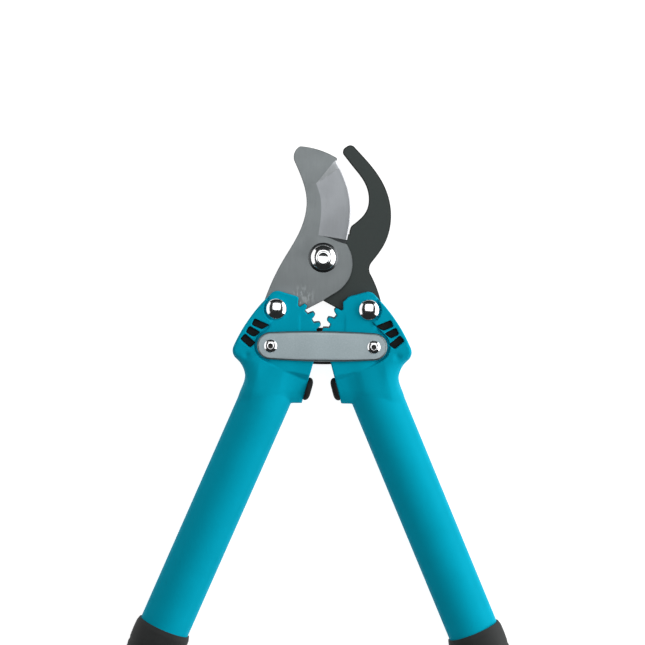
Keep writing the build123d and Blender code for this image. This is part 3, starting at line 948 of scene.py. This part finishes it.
def dome_profile(radius, base, top, rim=0.4, steps=12):
    """Crown of a round head from its rim to its middle, a little rounded where they meet."""
    crown = (top - base) * (1 - rim)
    rim *= top - base
    sphere = (radius**2 + crown**2) / (2 * crown)
    widest = math.asin(radius / sphere)
    made = [(radius - 0.15, base), (radius, base + 0.15), (radius, base + rim - 0.2)]
    for turn in np.linspace(widest * 0.98, 0, steps):
        made.append((sphere * math.sin(turn), top - sphere * (1 - math.cos(turn))))
    return made


def add_tang_bolts():
    low, high = node_box("left_tang_bolt")
    radius = (high[0] - low[0]) / 2
    profile = [(0, low[2]), (2.5, low[2]), (2.95, low[2] + 0.5), (2.95, HEAD_FRONT + 0.02)]
    profile += dome_profile(radius, HEAD_FRONT + 0.02, high[2])
    add_pair("tang_bolt", lathe(profile, TANG_PIVOT, 96), CHROME, "bright_steel", smooth_angle=40)


def nut_shape(node, centre, half_width, bore):
    low, high = node_box(node)
    bottom, top = low[2], high[2]
    corner = half_width / math.cos(math.pi / 6)
    profile = [
        (bore, bottom + 0.4), (bore + 0.4, bottom), (half_width - 0.2, bottom),
        (corner, bottom + 0.75), (corner, top - 0.75), (half_width - 0.2, top),
        (bore + 0.4, top), (bore, top - 0.4),
    ]
    return lathe(profile, centre, 96, hexagon(half_width))


def add_nuts():
    add_pair("tang_nut", nut_shape("left_tang_nut", TANG_PIVOT, 5.0, 3.0), ZINC, "zinc_steel")
    pivot_nut = nut_shape("pivot_nut", MAIN_PIVOT, 6.5, 4.0)
    add_piece("pivot_nut", pivot_nut, "counter_blade", ZINC, "zinc_steel")


def add_main_bolt():
    """Domed head with a dished button standing in its middle."""
    low, high = node_box("pivot_bolt")
    seat = node_box("front_washer")[1][2]
    radius = (high[0] - low[0]) / 2 - 0.4
    top = high[2]
    button_foot = 4.9
    dome = dome_profile(radius, seat + 0.02, top - 0.35, 0.3, 24)
    outer = [point for point in dome if point[0] > button_foot]
    foot = outer[-1][1]
    button = [
        (4.75, foot + 0.02), (4.55, foot + 0.05), (4.35, foot + 0.3), (4.15, top - 0.15), (3.85, top),
        (3.45, top - 0.03),
    ]
    # The hollow in the button is part of a sphere
    sphere, hollow = 15.0, 3.2
    lip = math.sqrt(sphere**2 - hollow**2)
    for r in np.linspace(hollow, 0, 9):
        button.append((r, top - 0.1 + lip - math.sqrt(sphere**2 - r**2)))
    shank = [(0, low[2]), (3.4, low[2]), (3.95, low[2] + 0.6), (3.95, seat + 0.02)]
    bolt = lathe(shank + outer + button, MAIN_PIVOT, 120)
    add_piece("pivot_bolt", bolt, "counter_blade", CHROME, "bright_steel", 40)


def add_washers():
    bore = 4.0
    for node, material in (("front_washer", WASHER), ("rear_washer", ZINC)):
        low, high = node_box(node)
        radius = (high[0] - low[0]) / 2
        profile = [
            (bore, low[2]), (radius - 0.2, low[2]), (radius, low[2] + 0.15), (radius - 0.05, low[2] + 0.3),
            (radius - 1.45, high[2] - 0.05), (radius - 1.6, high[2]), (bore, high[2]),
        ]
        add_piece(node, lathe(profile, MAIN_PIVOT, 96), "counter_blade", material, "zinc_steel")


def add_link_screws():
    low, high = node_box("left_link_screw")
    radius = (high[0] - low[0]) / 2 - 0.2
    seat = LINK_FRONT
    count = 72
    socket_edge = 2.4
    dome = dome_profile(radius, seat + 0.02, high[2], 0.35, 16)
    profile = [(0, low[2]), (2.1, low[2]), (2.45, low[2] + 0.4), (2.45, seat + 0.02)]
    profile += [point for point in dome if point[0] > socket_edge]
    profile.append((2.3, high[2] - 0.35))
    shape = lathe(profile, HANDLE_PIVOT, count)
    # The dome stays open in the middle, where a hexagonal socket goes down; its deeper walls and floor are
    # painted black as painted shade
    lip = list(range(len(shape.points) - count, len(shape.points)))
    socket = hexagon(1.7)
    for depth, paint in ((0.4, 0), (1.7, 1)):
        edge = [around_pivot(socket(angle), angle) for angle in whole_turn(count)]
        inner = shape.add(level(edge, high[2] - depth))
        shape.bridge(lip, inner, paint=paint)
        lip = inner
    middle = shape.add([(*HANDLE_PIVOT, high[2] - 2.0)])[0]
    for i in range(count):
        shape.face((lip[i], lip[(i + 1) % count], middle), paint=1)
    add_pair("link_screw", shape, (CHROME, BLACK), "bright_steel", body="link", smooth_angle=40)


def add_link_barrels():
    low, high = node_box("left_link_barrel")
    flange = (high[0] - low[0]) / 2
    barrel = 3.97
    profile = [
        (0, low[2] + 1.2), (2.2, low[2] + 1.2), (2.3, low[2] + 0.1), (flange - 0.3, low[2] + 0.02),
        (flange - 0.15, low[2] + 0.15), (barrel + 0.02, low[2] + 2.62), (barrel, high[2] - 0.3),
        (barrel - 0.3, high[2]), (2.55, high[2]), (2.55, high[2] - 11.5), (0, high[2] - 11.5),
    ]
    add_pair("link_barrel", lathe(profile, HANDLE_PIVOT), ZINC, "zinc_steel", body="link")


# ------ links


def link_outline(end_radius, lower, upper):
    """Bar with round ends; lower and upper are the heights of its long edges at its middle."""
    x = -HANDLE_PIVOT[0]
    return ring(
        arc((-x, -end_radius), (0, lower), (x, -end_radius), 60),
        arc((x, -end_radius), (x + end_radius, 0), (x, end_radius), 40),
        arc((x, end_radius), (0, upper), (-x, end_radius), 60),
        arc((-x, end_radius), (-x - end_radius, 0), (-x, -end_radius), 40),
    )


def add_link(node, hole, rim, steps, paints, record_slot):
    low, high = node_box(node)
    outline = link_outline((high[0] - low[0]) / 2 + HANDLE_PIVOT[0], low[1], high[1])
    holes = [circle(HANDLE_PIVOT, hole), circle(HANDLE_PIVOT * (-1, 1), hole)]
    shape = plate(outline, low[2], high[2], rim, holes, steps, rim_paint=len(paints) - 1)
    add_piece(node, shape, "link", paints, record_slot, flat_sides=True)


# ------ blades


def root_lines(side):
    """Pivot lobe, lower edge and round tang end; side is 1 for the blade and -1 for the hook."""
    made = path(
        arc((16.0, 69.0), (19.9, 57.0), (17.0, 44.5), 40),
        arc((17.0, 44.5), (12.9, 39.3), (7.0, 35.0)),
        divide([(7.0, 35.0), (0.0, 30.5), (-26.9, 16.25)], 4),
        arc((-26.9, 16.25), (-39.0, 18.5), (-39.8, 30.4), 30),
    )
    return [(side * x, y) for x, y in made]


# Share of the cutting edge that the nose facet takes, and the facet's direction across the blade
FACET_SHARE = 0.10
FACET_ACROSS = (0.779, -0.627)
BEVEL_NOSE = (7.2, 126.0)
BEVEL_CORNER = (-5.5, 110.2)


def add_cutting_blade():
    """Blade with a ground bevel, a heel step, a facet at the nose and a honed edge."""
    body_line = path(
        arc((8.1, 125.7), (8.5, 127.0), (7.6, 128.0), 8),
        arc((7.6, 128.0), (-4.0, 133.0), (-16.6, 135.2), 30),
        arc((-16.6, 135.2), (-20.5, 130.6), (-20.4, 125.2), 20),
        spline([(-20.4, 125.2), (-11.8, 98.0), (-16.4, 77.5), (-27.6, 57.5), (-35.3, 42.0),
                (-39.8, 30.4)], 90),
        root_lines(1)[::-1],
        [(15.6, 69.3)],
    )
    edge_line = spline([(8.1, 125.7), (15.2, 110.3), (18.4, 92.0), (16.0, 72.2)], 60)
    bevel_top = path(
        divide([BEVEL_NOSE, BEVEL_CORNER], 1.0),
        spline([BEVEL_CORNER, (-3.3, 104.0), (-2.0, 97.0), (-1.9, 89.0), (-2.7, 81.5), (-3.5, 75.2)], 40),
    )
    at = np.linspace(0, 1, len(bevel_top))
    share = np.linspace(0, 1, len(edge_line))
    # The upper corner of the bevel is paired with the edge a tenth of the way down
    corner = np.argmin(np.hypot(*(np.array(bevel_top) - BEVEL_CORNER).T))
    pairing = np.interp(at, [0, at[corner], 1], [0, FACET_SHARE, 1])
    edge = resample(edge_line, share, pairing)
    heel_top = divide([(-3.5, 75.2), (0.0, 74.5), (5.0, 73.0), (10.0, 70.9), (15.6, 69.3)], 1.2)

    shape = Shape()
    land, hone_width, hone_rise = 0.25, 0.75, 0.5
    # Near the nose the ground facet is one plane, so the edge is thick at the very tip
    facet_run = (edge - BEVEL_NOSE) @ FACET_ACROSS
    full_run = facet_run[corner]
    thickness = BLADE_FRONT - BLADE_BACK - land - hone_rise
    extra = thickness * np.clip(1 - facet_run / full_run, 0, 0.9)
    extra[corner:] = 0
    # The rim fades out over the last four points at both ends
    rims = np.full(len(body_line), 0.4)
    ends = np.minimum(np.arange(len(rims)), np.arange(len(rims))[::-1])
    rims *= np.clip(ends / 4, 0.02, 1)
    # The rounded rim of the outline is painted in the darker steel as painted shade
    back_body, front_body = rounded_wall(
        shape, body_line, rims, BLADE_BACK, BLADE_FRONT, closed=False, paint=3
    )

    # Edge land, hone and ground face, from the cutting edge up to the flat
    top = np.array(bevel_top)
    across = top - edge
    across /= np.hypot(*across.T)[:, None]
    honed = edge + across * hone_width
    low_edge = shape.add(level(edge, BLADE_BACK))
    high_edge = shape.add(np.column_stack([edge, BLADE_BACK + land + extra]))
    hone_height = BLADE_BACK + land + hone_rise + extra
    hone_line = shape.add(np.column_stack([honed, hone_height]))
    rows = [hone_line]
    for part in np.linspace(0, 1, 7)[1:]:
        flat = honed + (top - honed) * part
        height = hone_height + (BLADE_FRONT - hone_height) * part
        rows.append(shape.add(np.column_stack([flat, height])))
    shape.bridge(high_edge, low_edge, closed=False, paint=1)
    # The hone gets the pale steel: a painted highlight along the cutting edge
    shape.bridge(hone_line, high_edge, closed=False, paint=2)
    # Rows up to the corner make the nose facet, painted lighter as painted light; the rest is the ground
    # face
    for low, high in zip(rows, rows[1:]):
        shape.bridge(high[: corner + 1], low[: corner + 1], closed=False, paint=4)
        shape.bridge(high[corner:], low[corner:], closed=False, paint=1)

    # Heel wall, between the end of the ground face and the flat above it, painted in darker steel as
    # painted shade
    heel_low = [row[-1] for row in reversed(rows)] + [high_edge[-1]]
    heel_at, low_at = (np.linspace(0, 1, len(line)) for line in (heel_top, heel_low))
    heel_high = shape.add(level(resample(heel_top, heel_at, low_at), BLADE_FRONT))
    shape.bridge(heel_high, heel_low, closed=False, paint=3)
    shape.face((heel_high[-1], heel_low[-1], low_edge[-1], back_body[-1], front_body[-1]), paint=1)

    # Nose wall and the two flat sides
    shape.face((front_body[0], back_body[0], low_edge[0], high_edge[0], hone_line[0], *[
        row[0] for row in rows[1:]
    ]), paint=1)
    pivot_hole = circle(MAIN_PIVOT, 4.05)
    tang_hole = circle(TANG_PIVOT + (-1.98, 0.98), 5.35)
    holes_back, holes_front = [], []
    for hole in (pivot_hole, tang_hole):
        low = shape.add(level(hole, BLADE_BACK))
        high = shape.add(level(hole, BLADE_FRONT))
        shape.bridge(high, low)
        holes_back.append(low)
        holes_front.append(high)
    shape.cap([front_body + heel_high[::-1] + rows[-1][::-1], *holes_front], up=True)
    shape.cap([back_body + low_edge[::-1], *holes_back], up=False)
    paints = (BLADE, GROUND, HONED_HIGHLIGHT, BLADE_RIM_SHADE, LIT_NOSE_FACET)
    add_piece("cutting_blade", shape, "cutting_blade", paints, "blade_steel", 25, flat_sides=True)


def add_counter_blade():
    outline = ring(
        root_lines(-1)[:-1],
        arc((39.8, 30.4), (36.4, 40.6), (32.8, 48.2)),
        arc((32.8, 48.2), (31.5, 52.6), (32.9, 56.8)),
        spline([(32.9, 56.8), (42.0, 70.3), (45.9, 89.9), (40.9, 109.4), (30.4, 124.5), (21.0, 134.5)],
               90),
        arc((21.0, 134.5), (17.7, 136.5), (14.6, 135.2), 10),
        arc((14.6, 135.2), (12.5, 132.6), (13.1, 129.9), 10),
        divide([(13.1, 129.9), (20.0, 121.3)], 1.5),
        spline([(20.0, 121.3), (29.2, 107.5), (29.2, 92.5), (19.0, 81.7)], 60),
        arc((19.0, 81.7), (18.1, 79.6), (17.5, 76.0), 8),
        divide([(17.5, 76.0), (-10.0, 76.0)], 3),
        arc((-10.0, 76.0), (-14.0, 73.4), (-16.0, 69.0), 8),
    )
    holes = [circle(MAIN_PIVOT, 4.0), circle(TANG_PIVOT * (-1, 1), 3.05)]
    # The rounded rims get the near-black coating, as painted shade
    shape = plate(outline, HOOK_BACK, HOOK_FRONT, 0.8, holes, steps=4, rim_paint=1)
    paints = (HOOK, HOOK_RIM_SHADE)
    add_piece("counter_blade", shape, "counter_blade", paints, "coated_hook", flat_sides=True)


add_handles()
add_bumpers()
add_inserts()
add_bushes()
add_grips()
add_end_caps()
add_tang_bolts()
add_nuts()
add_main_bolt()
add_washers()
add_link_screws()
add_link_barrels()
# The front link's rounded rims are painted darker as painted shade
add_link("front_link", 2.5, 1.3, 5, (SATIN, SATIN_RIM_SHADE), "satin_link")
add_link("rear_link", 4.0, 0.6, 3, (BLACK,), "black_link")
add_cutting_blade()
add_counter_blade()

# ------ floor, camera, light

FLOOR_HALF = 3.0
floor_mesh = bpy.data.meshes.new("floor")
floor_z = cad_bounds[0].z - 0.0002
floor_mesh.from_pydata(
    [(x * FLOOR_HALF, y * FLOOR_HALF, floor_z) for x, y in ((-1, -1), (1, -1), (1, 1), (-1, 1))],
    [], [(0, 1, 2, 3)],
)
floor = bpy.data.objects.new("floor", floor_mesh)
bpy.context.scene.collection.objects.link(floor)
floor_material = new_material("pale_floor", (0.4, 0.4, 0.4), 0.0, 0.9)
shader_input(floor_material, "Emission Color").default_value = (1, 1, 1, 1)
shader_input(floor_material, "Emission Strength").default_value = 0.9
floor_mesh.materials.append(floor_material)

CAMERA_PLACE = Vector((0.0, 0.090, 1.15))
VIEW_CENTRE = Vector((0.0, 0.0160, 0.0200))
VIEW_WIDTH = 0.4384
PHOTO_ROLL = math.radians(0.7)
camera = bpy.data.objects.new("camera", bpy.data.cameras.new("camera"))
bpy.context.scene.collection.objects.link(camera)
camera.location = CAMERA_PLACE
look = VIEW_CENTRE - CAMERA_PLACE
camera.rotation_mode = "QUATERNION"
back = -look.normalized()
right = Vector((0, 1, 0)).cross(back).normalized()
upright = Matrix((right, back.cross(right), back)).transposed().to_quaternion()
camera.rotation_quaternion = upright @ Quaternion((0, 0, 1), PHOTO_ROLL)
camera.data.sensor_width = 36.0
camera.data.lens = camera.data.sensor_width * look.length / VIEW_WIDTH
bpy.context.scene.camera = camera


def add_panel(name, place, aim, size, radiance):
    """Area light whose power makes it look this bright at its size."""
    light = bpy.data.lights.new(name, "AREA")
    light.shape = "RECTANGLE"
    light.size, light.size_y = size
    light.energy = radiance * math.pi * size[0] * size[1]
    holder = bpy.data.objects.new(name, light)
    bpy.context.scene.collection.objects.link(holder)
    holder.location = place
    holder.rotation_mode = "QUATERNION"
    holder.rotation_quaternion = (Vector(aim) - Vector(place)).to_track_quat("-Z", "Y")
    return holder


PANELS = {
    "overhead": ((0.08, 0.55, 1.6), (0.06, 0.15, 0.0), (1.9, 1.6), 1.85),
    "left_panel": ((-1.3, 0.2, 0.45), (0, 0.2, 0.3), (2.1, 0.95), 1.35),
    "right_panel": ((1.3, 0.2, 0.52), (0, 0.2, 0.3), (2.1, 1.05), 3.5),
}
for name, settings in PANELS.items():
    panel = add_panel(name, *settings)
    # The left panel is only there for the steel to reflect
    panel.visible_diffuse = name != "left_panel"

world = bpy.data.worlds.new("studio")
bpy.context.scene.world = world
world.use_nodes = True
world.node_tree.nodes["Background"].inputs["Color"].default_value = (0.9, 1.0, 1.0, 1)
world.node_tree.nodes["Background"].inputs["Strength"].default_value = 0.025
bpy.context.scene.view_settings.view_transform = "Standard"
